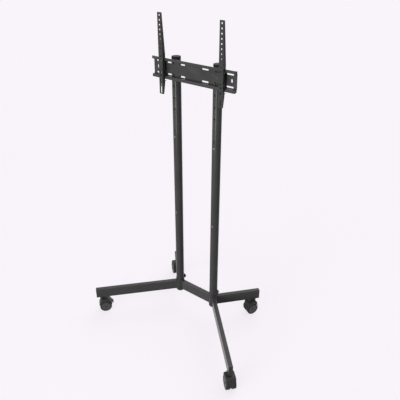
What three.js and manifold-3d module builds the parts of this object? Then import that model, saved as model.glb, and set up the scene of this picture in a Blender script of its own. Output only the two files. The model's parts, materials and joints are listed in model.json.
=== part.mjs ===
import * as THREE from 'three';
import { mergeVertices } from 'three/addons/utils/BufferGeometryUtils.js';
import Module from 'manifold-3d';

// A mobile stand for a flat screen, in millimetres: two posts on splayed legs with casters,
// and a plate near the top of the posts that carries two sliding arms for the screen.
// X runs to the right as seen from the screen's side, Y to the back and Z up.
// The origin lies on the floor, midway between the two posts.

const wasm = await Module();
wasm.setup();

// Shared by all pieces
const fitGap = 0.3;            // between a piece and what it stands in, on or against
const overrun = 6;             // how far a cutting body passes the face that it leaves by
const fineSides = 24;          // sides of a large round
const smallSides = 10;         // sides of a screw, pin or collar
const holeSides = 8;           // sides of a small hole
const hexSides = 6;

// Posts
const postSpacing = 264;
const postDiameter = 50;
const postWall = 1.5;
const middleTubeLength = 500;    // from seam to seam
const upperTubeLength = 425;     // from the upper seam to the post's top
const postAbovePlate = 56;       // from the plate's middle up to the post's top
const postCapHeight = 9;
const postCapCrown = 1.5;
const postCapPlug = 15;
const capEdge = 1.2;

// Sleeves inside the posts, across each seam
const sleeveLength = 160;
const sleeveWall = 1.5;
const sleeveScrewDrop = 21;    // from a seam down to the screw's axis
const sleeveScrewRadius = 3;
const sleeveScrewLength = 9;
const sleeveHeadRadius = 5.5;
const sleeveHeadHeight = 3;
const seamHoleRise = 17;       // from the upper seam up to the empty hole above it

// Sockets at the foot of the posts
const socketWall = 1.7;
const socketRise = 20;         // above the bars
const socketDrop = 12;         // below the bars
const socketFloor = 3;
const socketEdge = 4;
const knobRise = 4;            // of the knob's axis above the bars
const knobBossRadius = 8;
const knobBossLength = 5;
const knobScrewRadius = 4;
const knobRadius = 16;
const knobThickness = 9;
const knobLobes = 6;
const knobLobeSteps = 6;
const knobLobeDepth = 2.5;
const knobHubRadius = 8.5;
const knobHubLength = 4;

// Legs and crossbar, one section of tube
const barHeight = 65;
const barWidth = 25;
const barWall = 1.5;
const barCorner = 3;
const cornerSteps = 2;
const barUnderside = 108;
const frontReach = 552;        // from a post's axis to the outer end of its front leg
const rearReach = 304;
const frontSplay = THREE.MathUtils.degToRad(44);   // outward from straight ahead
const rearSplay = THREE.MathUtils.degToRad(43);    // outward from straight back
const legCapFlange = 3;
const legCapPlug = 8;

// Casters
const stemInset = 35;          // from a leg's outer end to the stem's axis
const stemRadius = 5;
const collarRadius = 11;
const collarHeight = 5;
const stemNutRadius = 9.8;
const stemNutHeight = 8;
const stemNutExtra = 2;        // thread that shows above the nut
const stemBoreDepth = 18;
const casterTrail = 18;        // from the stem's axis to the axle
const wheelDiameter = 76;
const wheelWidth = 24.4;
const wheelSides = 24;
const webThickness = 8;
const wheelPlay = 0.6;         // beside a wheel
const wellGap = 2.5;           // round a wheel
const roofThickness = 3.5;
const roofSkirt = 14;          // height of the roof's lower edge above the axle
const housingLength = 62;
const housingDrop = 14;        // from a leg's underside down to the housing's top
const housingCorner = 18;
const bossRadius = 15;
const axleRadius = 4;
const axleBossRadius = 15;
const webNeck = 28;            // width of the web between the axle and the roof
const axleHeadRadius = 7;
const axleHeadHeight = 1.8;
const wheelRunningGap = 0.3;

// Wheel section
const wheelTreadEdge = 2;
const wheelRimWidth = 5;
const wheelFaceRecess = 2;
const wheelCoverRadius = 26;

// Brake pedals of the front casters
const pedalPivotRise = 38;     // above the axle
const pedalPivotReach = 28;    // past the axle, away from the stem
const pedalPinRadius = 2;
const pedalPinLength = 38;
const pedalKnuckleRadius = 4.5;
const pedalWidth = 30;
const pedalLength = 34;
const pedalThickness = 3;
const pedalSlope = THREE.MathUtils.degToRad(50);   // below level
const brakeGap = 2.6;          // from the shoe to the tread, released
const shoeThickness = 5;
const shoeAngle = THREE.MathUtils.degToRad(42);    // above level, about the axle
const notchMargin = 0.5;       // between the pedal and the notch that it stands in

// Screen plate with its two rails
const plateHeight = 1600;      // of the plate's middle
const plateLength = 520;
const plateFace = 84;          // height of the flat face
const plateThickness = 2.2;
const railDepth = 16.5;        // from the face's front to the rail's front
const railLip = 14;            // how far a rail's lip stands past its shelf
const railStopHeight = 12;
const slotLength = 40;
const slotRadius = 4.3;
const slotRow = 32;            // above and below the plate's middle
const innerSlot = 73.5;        // from the plate's middle along X
const outerSlot = 221.5;
const endSlot = 231;
const endSlotWidth = 9;
const endSlotHeight = 18;
const slotSteps = 2;

// Bolts between plate and posts
const boltRadius = 4;
const boltWasherRadius = 7.4;
const boltWasherHeight = 1.6;
const boltHeadRadius = 7.5;
const boltHeadHeight = 5.3;
const boltNutHeight = 6.5;
const boltExtra = 2.5;         // thread that shows behind the nut
const heightHolePitch = 64;
const heightHoleCount = 5;

// Screen arms
const armSpacing = 376;
const armDrop = 137;           // from the plate's middle down to the arm's bottom
const armLength = 424;
const armWidth = 27;
const armThickness = 2;
const armTopDepth = 4;
const armBottomDepth = 6;
const armFrontGap = 17;        // from the rails' front to the arm's front
const armHoleRadius = 4.2;
const armHolePitch = 23.7;
const armHoleInset = 14;       // of the topmost hole, from the arm's top
const armHoleCount = 8;
const outerHoleRise = 66;      // of the holes in front of the plate, from its middle
const innerHoleRise = 44.5;
const innerHoleDrop = 18;
const outerHoleDrop = 35;
const armSlotLength = 32;
const lowSlotLength = 39;
const armSlotRadius = 3.6;
const armSlotInset = 5;        // of the lowest slot, from the arm's bottom
const armSlotSpace = 6;
const hookDrop = 10;           // how far the hook reaches down behind the lip
const hookDepth = 3;
const hookHeight = 20;         // from the lip up to where the taper begins
const armFoot = 24;            // from the lower lip's edge down to where the taper begins
const lockTabDrop = 12;        // from the lower lip's edge down to the tab
const lockTabThickness = 2.5;
const lockTabReach = 13;       // behind the rails' front
const lockScrewRadius = 3;
const lockScrewReach = 8;      // behind the rails' front
const lockScrewRise = 10;      // above the lower lip's edge
const lockHeadRadius = 5.5;
const lockHeadHeight = 4;

// Sizes that follow from those above
const postRadius = postDiameter / 2;
const postX = postSpacing / 2;
const socketRadius = postRadius + fitGap + socketWall;
const sleeveRadius = postRadius - postWall - fitGap;
const postTop = plateHeight + postAbovePlate;
const upperSeamHeight = postTop - upperTubeLength;
const lowerSeamHeight = upperSeamHeight - middleTubeLength;
const barTop = barUnderside + barHeight;
const socketTop = barTop + socketRise;
const socketBottom = barUnderside - socketDrop;
const knobHeight = barTop + knobRise;
const wheelRadius = wheelDiameter / 2;
const wellRadius = wheelRadius + wellGap;
const roofRadius = wellRadius + roofThickness;
const wheelStart = webThickness / 2 + wheelPlay;
const wheelEnd = wheelStart + wheelWidth;
const bossTop = barUnderside - fitGap - collarHeight - fitGap;
const housingTop = barUnderside - housingDrop;
const plateBack = -postRadius - fitGap;
const plateFront = plateBack - plateThickness;
const railFront = plateFront - railDepth;
const armFront = railFront - armFrontGap;
const lipTop = plateFace / 2 + railLip;

// Casters at rest: which leg, and where the wheels trail, as turned from +X
const corners = [
  { name: 'front_left', side: -1, end: -1, trail: THREE.MathUtils.degToRad(48), brake: true },
  { name: 'front_right', side: 1, end: -1, trail: THREE.MathUtils.degToRad(-43), brake: true },
  { name: 'rear_left', side: -1, end: 1, trail: THREE.MathUtils.degToRad(142), brake: false },
  { name: 'rear_right', side: 1, end: 1, trail: THREE.MathUtils.degToRad(244), brake: false },
];

// Finishes
const finishes = {
  powder: { color: '#3b3a39', roughness: 0.55, metalness: 0.35 },
  inner: { color: '#5a5a5a', roughness: 0.45, metalness: 0.7 },
  plastic: { color: '#232323', roughness: 0.6, metalness: 0 },
  wheel: { color: '#2d2d2e', roughness: 0.5, metalness: 0 },
  fastener: { color: '#2a2a2b', roughness: 0.4, metalness: 0.8 },
};

// A closed solid from a geometry of one of the ordinary classes
function solid(geometry) {
  geometry.deleteAttribute('normal');
  geometry.deleteAttribute('uv');
  const merged = mergeVertices(geometry);
  const corner = merged.index.array;
  const kept = [];
  for (let i = 0; i < corner.length; i += 3) {
    const [a, b, c] = [corner[i], corner[i + 1], corner[i + 2]];
    if (a !== b && b !== c && c !== a) kept.push(a, b, c);
  }
  return new wasm.Manifold(new wasm.Mesh({
    numProp: 3,
    vertProperties: new Float32Array(merged.attributes.position.array),
    triVerts: new Uint32Array(kept),
  }));
}

// A round bar along Z from one height to another
function roundBar(radius, from, to, sides = smallSides) {
  const bar = new THREE.CylinderGeometry(radius, radius, to - from, sides);
  return solid(bar.rotateX(Math.PI / 2).translate(0, 0, (from + to) / 2));
}

// A round bar along Y
function roundBarAlongY(radius, from, to, sides = smallSides) {
  const bar = new THREE.CylinderGeometry(radius, radius, to - from, sides);
  return solid(bar.translate(0, (from + to) / 2, 0));
}

// A block between two opposite corners
function block(x0, x1, y0, y1, z0, z1) {
  const box = new THREE.BoxGeometry(x1 - x0, y1 - y0, z1 - z0);
  return solid(box.translate((x0 + x1) / 2, (y0 + y1) / 2, (z0 + z1) / 2));
}

// A turned piece about Z, from a closed profile of [radius, height] that runs outward along its foot
function turned(profile, sides = fineSides) {
  const points = profile.map(([radius, height]) => new THREE.Vector2(radius, height));
  points.push(points[0].clone());
  return solid(new THREE.LatheGeometry(points, sides).rotateX(Math.PI / 2));
}

// A flat outline in the XZ plane, given a thickness along Y that starts at `from`
function slabAlongY(shape, from, thickness, steps = slotSteps) {
  const slab = new THREE.ExtrudeGeometry(shape, { depth: thickness, bevelEnabled: false, curveSegments: steps });
  return solid(slab.rotateX(Math.PI / 2).translate(0, from + thickness, 0));
}

// A flat outline in the YZ plane, given a thickness along X that starts at `from`
function slabAlongX(points, from, thickness) {
  const shape = new THREE.Shape(points.map(([y, z]) => new THREE.Vector2(y, z)));
  const slab = new THREE.ExtrudeGeometry(shape, { depth: thickness, bevelEnabled: false });
  slab.rotateX(Math.PI / 2).rotateZ(Math.PI / 2);
  return solid(slab.translate(from, 0, 0));
}

// A rectangle with round corners about the origin
function roundedRectangle(width, height, corner, Kind = THREE.Shape) {
  const [x, y] = [width / 2, height / 2];
  const shape = new Kind();
  shape.moveTo(x - corner, -y);
  shape.absarc(x - corner, -y + corner, corner, -Math.PI / 2, 0, false);
  shape.absarc(x - corner, y - corner, corner, 0, Math.PI / 2, false);
  shape.absarc(-x + corner, y - corner, corner, Math.PI / 2, Math.PI, false);
  shape.absarc(-x + corner, -y + corner, corner, Math.PI, 1.5 * Math.PI, false);
  shape.closePath();
  return shape;
}

// A slot's outline about a centre, round at both ends
function slotOutline(width, height) {
  return roundedRectangle(width, height, Math.min(width, height) / 2);
}

function moved(body, x, y, z) {
  return body.translate([x, y, z]);
}

function joined(bodies) {
  return bodies.reduce((sum, body) => sum.add(body));
}

function cut(body, cutters) {
  return cutters.reduce((rest, cutter) => rest.subtract(cutter), body);
}

// A named mesh of its own material, from a finished solid
function piece(name, body, finish) {
  const { vertProperties, triVerts } = body.getMesh();
  const geometry = new THREE.BufferGeometry();
  geometry.setAttribute('position', new THREE.BufferAttribute(new Float32Array(vertProperties), 3));
  geometry.setIndex(new THREE.BufferAttribute(new Uint32Array(triVerts), 1));
  geometry.computeVertexNormals();
  const mesh = new THREE.Mesh(geometry, new THREE.MeshStandardMaterial(finishes[finish]));
  mesh.name = name;
  return mesh;
}

// Rectangular tube along +X between two distances, centred on Y and standing on the underside height
function barTube(from, to) {
  const section = roundedRectangle(barWidth, barHeight, barCorner);
  const [innerWidth, innerHeight] = [barWidth - 2 * barWall, barHeight - 2 * barWall];
  const inside = roundedRectangle(innerWidth, innerHeight, barCorner - barWall, THREE.Path);
  section.holes.push(inside);
  const options = { depth: to - from, bevelEnabled: false, curveSegments: cornerSteps };
  const tube = new THREE.ExtrudeGeometry(section, options);
  tube.rotateZ(Math.PI / 2).rotateY(Math.PI / 2);
  return solid(tube.translate(from, 0, barUnderside + barHeight / 2));
}

function crossbar() {
  const socketCut = roundBar(socketRadius + fitGap, socketBottom, barTop + overrun, fineSides);
  return cut(barTube(-postX, postX), [moved(socketCut, -postX, 0, 0), moved(socketCut, postX, 0, 0)]);
}

// One leg along +X from its post's axis, open where it meets the socket
function leg(reach) {
  const socketCut = roundBar(socketRadius + fitGap, socketBottom, barTop + overrun, fineSides);
  const stemHole = roundBar(stemRadius + fitGap, barUnderside - overrun, barUnderside + barWall + overrun);
  const tube = barTube(0, reach - legCapFlange - fitGap);
  return cut(tube, [socketCut, moved(stemHole, reach - stemInset, 0, 0)]);
}

// The plug in a leg's outer end
function legCap(reach) {
  const middle = barUnderside + barHeight / 2;
  const slab = (width, height, corner, from, depth) => {
    const shape = roundedRectangle(width, height, corner);
    const plate = new THREE.ExtrudeGeometry(shape, { depth, bevelEnabled: false, curveSegments: cornerSteps });
    return solid(plate.rotateZ(Math.PI / 2).rotateY(Math.PI / 2).translate(from, 0, middle));
  };
  const inset = barWall + fitGap;
  return joined([
    slab(barWidth, barHeight, barCorner, reach - legCapFlange, legCapFlange),
    slab(barWidth - 2 * inset, barHeight - 2 * inset, barCorner - barWall,
      reach - legCapFlange - legCapPlug, legCapPlug + legCapFlange / 2),
  ]);
}

// The cup that a post stands in, with the threaded boss for its knob at the back
function socket() {
  const bore = postRadius + fitGap;
  const cup = turned([
    [0, socketBottom],
    [socketRadius - socketEdge, socketBottom],
    [socketRadius - socketEdge / 3, socketBottom + socketEdge / 3],
    [socketRadius, socketBottom + socketEdge],
    [socketRadius, socketTop],
    [bore, socketTop],
    [bore, socketBottom + socketFloor],
    [0, socketBottom + socketFloor],
  ]);
  const bossEnd = socketRadius + knobBossLength;
  const boss = moved(roundBarAlongY(knobBossRadius, bore + socketWall / 2, bossEnd), 0, 0, knobHeight);
  const thread = moved(roundBarAlongY(knobScrewRadius + fitGap, 0, bossEnd + overrun), 0, 0, knobHeight);
  return cut(joined([cup, boss]), [thread]);
}

// The hand knob behind a socket, with its screw's tip against the post
function baseKnob() {
  const hubStart = socketRadius + knobBossLength + fitGap;
  const gripStart = hubStart + knobHubLength;
  const outline = new THREE.Shape();
  const steps = knobLobes * knobLobeSteps;
  for (let i = 0; i < steps; i += 1) {
    const angle = (i / steps) * 2 * Math.PI;
    const radius = knobRadius - knobLobeDepth * (1 - Math.cos(knobLobes * angle)) / 2;
    const [x, z] = [radius * Math.cos(angle), radius * Math.sin(angle)];
    if (i === 0) outline.moveTo(x, z);
    else outline.lineTo(x, z);
  }
  return joined([
    roundBarAlongY(knobScrewRadius, postRadius + fitGap, gripStart + knobThickness / 2),
    roundBarAlongY(knobHubRadius, hubStart, gripStart + knobThickness / 2),
    slabAlongY(outline, gripStart, knobThickness),
  ]);
}

// A length of post between two heights, with screw holes through its front wall
// and bolt holes through both walls
function postTube(from, to, screwHeights, boltHeights) {
  const tube = turned([
    [postRadius - postWall, from],
    [postRadius, from],
    [postRadius, to],
    [postRadius - postWall, to],
  ]);
  const screwHole = roundBarAlongY(sleeveScrewRadius + fitGap, -postRadius - overrun, 0, holeSides);
  const boltHole = roundBarAlongY(boltRadius + fitGap, -postRadius - overrun, postRadius + overrun);
  return cut(tube, [
    ...screwHeights.map((height) => moved(screwHole, 0, 0, height)),
    ...boltHeights.map((height) => moved(boltHole, 0, 0, height)),
  ]);
}

// The tube inside a post that joins two lengths of it
function sleeve(seam, holeHeights) {
  const tube = turned([
    [sleeveRadius - sleeveWall, seam - sleeveLength / 2],
    [sleeveRadius, seam - sleeveLength / 2],
    [sleeveRadius, seam + sleeveLength / 2],
    [sleeveRadius - sleeveWall, seam + sleeveLength / 2],
  ]);
  const hole = roundBarAlongY(sleeveScrewRadius + fitGap, -postRadius - overrun, 0, holeSides);
  return cut(tube, holeHeights.map((height) => moved(hole, 0, 0, height)));
}

function sleeveScrew() {
  const headBack = -postRadius - fitGap;
  return joined([
    roundBarAlongY(sleeveScrewRadius, headBack - sleeveHeadHeight / 2, headBack + sleeveScrewLength),
    roundBarAlongY(sleeveHeadRadius, headBack - sleeveHeadHeight, headBack),
  ]);
}

function postCap() {
  const plug = postRadius - postWall - fitGap;
  const foot = postTop + fitGap;
  return turned([
    [0, postTop - postCapPlug],
    [plug, postTop - postCapPlug],
    [plug, foot],
    [postRadius, foot],
    [postRadius, postTop + postCapHeight - postCapCrown - capEdge],
    [postRadius - capEdge, postTop + postCapHeight - postCapCrown],
    [0, postTop + postCapHeight],
  ]);
}

// Hexagonal prism along Y
function hexAlongY(radius, from, to) {
  return roundBarAlongY(radius, from, to, hexSides);
}

function plateBolt() {
  const washerBack = plateFront - fitGap;
  const nutFront = postRadius + fitGap;
  return joined([
    roundBarAlongY(boltRadius, washerBack - boltWasherHeight, nutFront + boltNutHeight + boltExtra),
    roundBarAlongY(boltWasherRadius, washerBack - boltWasherHeight, washerBack),
    hexAlongY(boltHeadRadius, washerBack - boltWasherHeight - boltHeadHeight, washerBack - boltWasherHeight / 2),
    hexAlongY(boltHeadRadius, nutFront, nutFront + boltNutHeight),
  ]);
}

// The plate: a flat face between two rails, each a shelf forward and a lip turned away from the face
function screenPlate() {
  const edge = plateFace / 2;
  const shelf = edge - plateThickness;
  const lipBack = railFront + plateThickness;
  const section = [
    [plateBack, -edge], [plateBack, edge], [lipBack, edge], [lipBack, lipTop],
    [railFront, lipTop], [railFront, shelf], [plateFront, shelf], [plateFront, -shelf],
    [railFront, -shelf], [railFront, -lipTop], [lipBack, -lipTop], [lipBack, -edge],
  ];
  const half = plateLength / 2;
  const stops = [-1, 1].flatMap((side) => [-1, 1].map((level) => {
    const [x0, x1] = side < 0 ? [-half, -half + plateThickness] : [half - plateThickness, half];
    const [z0, z1] = level < 0 ? [-edge - railStopHeight, -shelf] : [shelf, edge + railStopHeight];
    return block(x0, x1, railFront, plateFront, z0, z1);
  }));
  const through = [plateFront - overrun, plateThickness + 2 * overrun];
  const slot = slabAlongY(slotOutline(slotLength, 2 * slotRadius), ...through);
  const upright = slabAlongY(slotOutline(endSlotWidth, endSlotHeight), ...through);
  const postSlot = postX + slotLength / 2 - slotRadius;
  const rows = [-1, 1].flatMap((side) => [
    ...[innerSlot, postSlot, outerSlot].flatMap(
      (x) => [-1, 1].map((level) => moved(slot, side * x, 0, level * slotRow))),
    moved(upright, side * endSlot, 0, 0),
  ]);
  const body = joined([slabAlongX(section, -half, plateLength), ...stops]);
  return cut(body, rows);
}

// One screen arm: a channel open to the back, with heights measured from the plate's middle
function screenArm() {
  const low = -armDrop;
  const high = low + armLength;
  const back = railFront - fitGap;
  const lipBack = railFront + plateThickness + fitGap;
  const hookTop = lipTop + hookHeight;
  const side = [
    [armFront, low], [armFront + armBottomDepth, low],
    [back, -lipTop - armFoot], [back, lipTop + fitGap],
    [lipBack, lipTop + fitGap], [lipBack, lipTop - hookDrop],
    [lipBack + hookDepth, lipTop - hookDrop], [lipBack + hookDepth, hookTop],
    [armFront + armTopDepth, high], [armFront, high],
  ];
  const edge = armWidth / 2;
  const tabTop = -lipTop - lockTabDrop;
  const channel = joined([
    block(-edge, edge, armFront, armFront + armThickness, low, high),
    slabAlongX(side, -edge, armThickness),
    slabAlongX(side, edge - armThickness, armThickness),
    block(-edge + armThickness / 2, edge - armThickness / 2, armFront + armThickness / 2, railFront + lockTabReach,
      tabTop - lockTabThickness, tabTop),
  ]);
  const through = [armFront - overrun, armFront + armThickness + overrun];
  const hole = roundBarAlongY(armHoleRadius, ...through, holeSides);
  const slot = (length, foot) => moved(
    slabAlongY(slotOutline(2 * armSlotRadius, length), through[0], through[1] - through[0]),
    0, 0, foot + length / 2);
  const heights = [outerHoleRise, innerHoleRise, -innerHoleDrop, -outerHoleDrop];
  for (let i = 0; i < armHoleCount; i += 1) heights.push(high - armHoleInset - i * armHolePitch);
  const lowSlot = low + armSlotInset;
  const lockHole = roundBar(lockScrewRadius + fitGap, tabTop - lockTabThickness - overrun, tabTop + overrun);
  return cut(channel, [
    ...heights.map((height) => moved(hole, 0, 0, height)),
    slot(lowSlotLength, lowSlot),
    slot(armSlotLength, lowSlot + lowSlotLength + armSlotSpace),
    moved(lockHole, 0, railFront + lockScrewReach, 0),
  ]);
}

// The screw that locks an arm behind the lower lip
function armLockScrew() {
  const headTop = -lipTop - lockTabDrop - lockTabThickness - fitGap;
  return joined([
    roundBar(lockScrewRadius, headTop - lockHeadHeight / 2, -lipTop + lockScrewRise),
    roundBar(lockHeadRadius, headTop - lockHeadHeight, headTop),
  ]);
}

// A caster's pieces stand about the stem's axis, with the wheels trailing towards +X
function casterStem() {
  const nutFoot = barUnderside + barWall + fitGap;
  return joined([
    roundBar(stemRadius, bossTop - stemBoreDepth + fitGap, nutFoot + stemNutHeight + stemNutExtra),
    roundBar(collarRadius, bossTop + fitGap, barUnderside - fitGap),
    roundBar(stemNutRadius, nutFoot, nutFoot + stemNutHeight, hexSides),
  ]);
}

function casterBody(brake) {
  const reach = wheelEnd;
  const roof = moved(roundBarAlongY(roofRadius, -reach, reach, fineSides), casterTrail, 0, wheelRadius)
    .intersect(block(casterTrail - roofRadius - overrun, casterTrail + roofRadius + overrun,
      -reach - overrun, reach + overrun, wheelRadius + roofSkirt, wheelRadius + roofRadius + overrun));
  const foot = wheelRadius + roofSkirt;
  const upper = new THREE.Shape();
  const [left, right] = [casterTrail - housingLength / 2, casterTrail + housingLength / 2];
  upper.moveTo(left, foot);
  upper.lineTo(right, foot);
  upper.lineTo(right, housingTop - housingCorner);
  upper.absarc(right - housingCorner, housingTop - housingCorner, housingCorner, 0, Math.PI / 2, false);
  upper.absarc(left + housingCorner, housingTop - housingCorner, housingCorner, Math.PI / 2, Math.PI, false);
  upper.closePath();
  const body = joined([
    roof,
    slabAlongY(upper, -reach, 2 * reach),
    roundBar(bossRadius, foot, bossTop),
    moved(roundBarAlongY(axleBossRadius, -webThickness / 2, webThickness / 2), casterTrail, 0, wheelRadius),
    block(casterTrail - webNeck / 2, casterTrail + webNeck / 2,
      -webThickness / 2, webThickness / 2, wheelRadius, foot + overrun),
  ]);
  const well = roundBarAlongY(wellRadius, webThickness / 2, reach + overrun, wheelSides);
  const cuts = [
    moved(well, casterTrail, 0, wheelRadius),
    moved(well, casterTrail, -reach - overrun - webThickness / 2, wheelRadius),
    moved(roundBarAlongY(axleRadius + fitGap, -reach, reach), casterTrail, 0, wheelRadius),
    roundBar(stemRadius + fitGap, bossTop - stemBoreDepth, bossTop + overrun),
  ];
  if (brake) {
    const [x, z] = [casterTrail + pedalPivotReach, wheelRadius + pedalPivotRise];
    const half = pedalWidth / 2 + notchMargin;
    const room = pedalKnuckleRadius + notchMargin;
    cuts.push(block(x - room, casterTrail + roofRadius + overrun, -half, half, foot - overrun, z + room));
    const pinEnd = pedalPinLength / 2 + fitGap;
    cuts.push(moved(roundBarAlongY(pedalPinRadius + fitGap, -pinEnd, pinEnd), x, 0, z));
  }
  return cut(body, cuts);
}

function casterAxle() {
  const headStart = wheelEnd + fitGap;
  return joined([
    roundBarAlongY(axleRadius, -headStart - axleHeadHeight / 2, headStart + axleHeadHeight / 2),
    roundBarAlongY(axleHeadRadius, headStart, headStart + axleHeadHeight),
    roundBarAlongY(axleHeadRadius, -headStart - axleHeadHeight, -headStart),
  ]).translate([casterTrail, 0, wheelRadius]);
}

// One wheel of a caster on the side given by the sign
function casterWheel(side) {
  const bore = axleRadius + wheelRunningGap;
  const rim = wheelRadius - wheelRimWidth;
  const body = turned([
    [bore, 0],
    [wheelRadius - wheelTreadEdge, 0],
    [wheelRadius, wheelTreadEdge],
    [wheelRadius, wheelWidth - wheelTreadEdge],
    [wheelRadius - wheelTreadEdge, wheelWidth],
    [rim, wheelWidth],
    [rim, wheelWidth - wheelFaceRecess],
    [wheelCoverRadius, wheelWidth],
    [bore, wheelWidth],
  ], wheelSides);
  const turn = side > 0 ? -90 : 90;
  return body.rotate([turn, 0, 0]).translate([casterTrail, side * wheelStart, wheelRadius]);
}

function brakePedal() {
  const [x, z] = [pedalPivotReach, pedalPivotRise];
  const half = pedalWidth / 2;
  const plate = block(0, pedalLength, -half, half, -pedalThickness / 2, pedalThickness / 2)
    .rotate([0, THREE.MathUtils.radToDeg(pedalSlope), 0]);
  const shoeRoot = wheelRadius + brakeGap;
  const along = pedalLength / 3;
  const plateRadius = Math.hypot(x + along * Math.cos(pedalSlope), z - along * Math.sin(pedalSlope));
  const shoe = block(shoeRoot, plateRadius, -half, half, -shoeThickness / 2, shoeThickness / 2)
    .rotate([0, -THREE.MathUtils.radToDeg(shoeAngle), 0]);
  return joined([
    moved(roundBarAlongY(pedalKnuckleRadius, -half, half), x, 0, z),
    moved(roundBarAlongY(pedalPinRadius, -pedalPinLength / 2, pedalPinLength / 2), x, 0, z),
    moved(plate, x, 0, z),
    shoe,
  ]).translate([casterTrail, 0, wheelRadius]);
}

// A caster as a group about its stem's axis, turned to where its wheels trail
function caster({ name, trail, brake }) {
  const group = new THREE.Group();
  group.rotation.z = trail;
  group.add(
    piece(`caster_stem_${name}`, casterStem(), 'fastener'),
    piece(`caster_body_${name}`, casterBody(brake), 'plastic'),
    piece(`caster_axle_${name}`, casterAxle(), 'fastener'),
    piece(`caster_wheel_${name}_1`, casterWheel(-1), 'wheel'),
    piece(`caster_wheel_${name}_2`, casterWheel(1), 'wheel'),
  );
  if (brake) group.add(piece(`brake_pedal_${name}`, brakePedal(), 'plastic'));
  return group;
}

// A leg with its cap and its caster, turned to its splay about the post's axis
function legGroup(corner) {
  const { name, side, end, trail } = corner;
  const [reach, splay] = end < 0 ? [frontReach, frontSplay] : [rearReach, rearSplay];
  const heading = Math.atan2(end * Math.cos(splay), side * Math.sin(splay));
  const group = new THREE.Group();
  group.position.x = side * postX;
  group.rotation.z = heading;
  const wheels = caster({ ...corner, trail: trail - heading });
  wheels.position.x = reach - stemInset;
  group.add(
    piece(`leg_${name}`, leg(reach), 'powder'),
    piece(`leg_cap_${name}`, legCap(reach), 'plastic'),
    wheels,
  );
  return group;
}

// One post with its socket, knob, sleeves, screws and cap, about its own axis
function postGroup(name, side) {
  const group = new THREE.Group();
  group.position.x = side * postX;
  const half = fitGap / 2;
  const lowerScrew = lowerSeamHeight - sleeveScrewDrop;
  const upperScrew = upperSeamHeight - sleeveScrewDrop;
  const emptyHole = upperSeamHeight + seamHoleRise;
  const boltHeights = [];
  for (let i = 0; i < heightHoleCount; i += 1) boltHeights.push(plateHeight + slotRow - i * heightHolePitch);
  const foot = socketBottom + socketFloor + fitGap;
  group.add(
    piece(`socket_${name}`, socket(), 'powder'),
    piece(`base_knob_${name}`, moved(baseKnob(), 0, 0, knobHeight), 'plastic'),
    piece(`post_lower_${name}`, postTube(foot, lowerSeamHeight - half, [lowerScrew], []), 'powder'),
    piece(`post_middle_${name}`,
      postTube(lowerSeamHeight + half, upperSeamHeight - half, [upperScrew], []), 'powder'),
    piece(`post_upper_${name}`,
      postTube(upperSeamHeight + half, postTop, [emptyHole], boltHeights), 'powder'),
    piece(`sleeve_lower_${name}`, sleeve(lowerSeamHeight, [lowerScrew]), 'inner'),
    piece(`sleeve_upper_${name}`, sleeve(upperSeamHeight, [upperScrew, emptyHole]), 'inner'),
    piece(`sleeve_screw_lower_${name}`, moved(sleeveScrew(), 0, 0, lowerScrew), 'fastener'),
    piece(`sleeve_screw_upper_${name}`, moved(sleeveScrew(), 0, 0, upperScrew), 'fastener'),
    piece(`post_cap_${name}`, postCap(), 'plastic'),
    piece(`plate_bolt_upper_${name}`, moved(plateBolt(), 0, 0, plateHeight + slotRow), 'fastener'),
    piece(`plate_bolt_lower_${name}`, moved(plateBolt(), 0, 0, plateHeight - slotRow), 'fastener'),
  );
  return group;
}

// The plate and its arms, about the plate's middle
function mountGroup() {
  const group = new THREE.Group();
  group.position.z = plateHeight;
  group.add(piece('screen_plate', screenPlate(), 'powder'));
  for (const [name, side] of [['left', -1], ['right', 1]]) {
    const arm = new THREE.Group();
    arm.position.x = side * armSpacing / 2;
    arm.add(piece(`arm_${name}`, screenArm(), 'powder'));
    const lockScrew = moved(armLockScrew(), 0, railFront + lockScrewReach, 0);
    arm.add(piece(`arm_lock_screw_${name}`, lockScrew, 'fastener'));
    group.add(arm);
  }
  return group;
}

const stand = new THREE.Group();
stand.add(piece('crossbar', crossbar(), 'powder'));
stand.add(...corners.map(legGroup));
stand.add(postGroup('left', -1), postGroup('right', 1));
stand.add(mountGroup());

export default stand;
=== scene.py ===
import json
import math

import bmesh
import bpy
from mathutils import Matrix, Vector

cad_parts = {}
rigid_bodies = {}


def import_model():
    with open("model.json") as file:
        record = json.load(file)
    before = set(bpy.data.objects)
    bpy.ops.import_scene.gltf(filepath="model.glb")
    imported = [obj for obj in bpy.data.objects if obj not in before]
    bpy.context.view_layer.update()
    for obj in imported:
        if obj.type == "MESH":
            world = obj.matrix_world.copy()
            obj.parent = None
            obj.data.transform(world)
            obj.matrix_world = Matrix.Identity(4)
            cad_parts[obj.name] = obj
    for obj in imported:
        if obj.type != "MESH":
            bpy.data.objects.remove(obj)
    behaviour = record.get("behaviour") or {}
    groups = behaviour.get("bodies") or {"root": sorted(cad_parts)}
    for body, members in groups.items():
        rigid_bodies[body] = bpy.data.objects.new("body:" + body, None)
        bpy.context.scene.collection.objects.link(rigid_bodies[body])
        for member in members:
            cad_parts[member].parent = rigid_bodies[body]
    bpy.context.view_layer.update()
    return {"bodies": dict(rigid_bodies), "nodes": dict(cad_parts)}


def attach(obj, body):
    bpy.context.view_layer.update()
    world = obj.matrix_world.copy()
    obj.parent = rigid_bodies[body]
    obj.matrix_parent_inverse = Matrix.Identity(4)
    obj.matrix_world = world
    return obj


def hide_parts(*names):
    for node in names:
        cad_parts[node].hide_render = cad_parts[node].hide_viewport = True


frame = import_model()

# Mobile stand for a flat screen. Sizes in the settings are in millimetres, angles in degrees.

mm = 0.001
scene = bpy.context.scene
scene.view_settings.view_transform = "Standard"
nodes = frame["nodes"]
bodyNames = {empty: name for name, empty in frame["bodies"].items()}


# Camera

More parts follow.
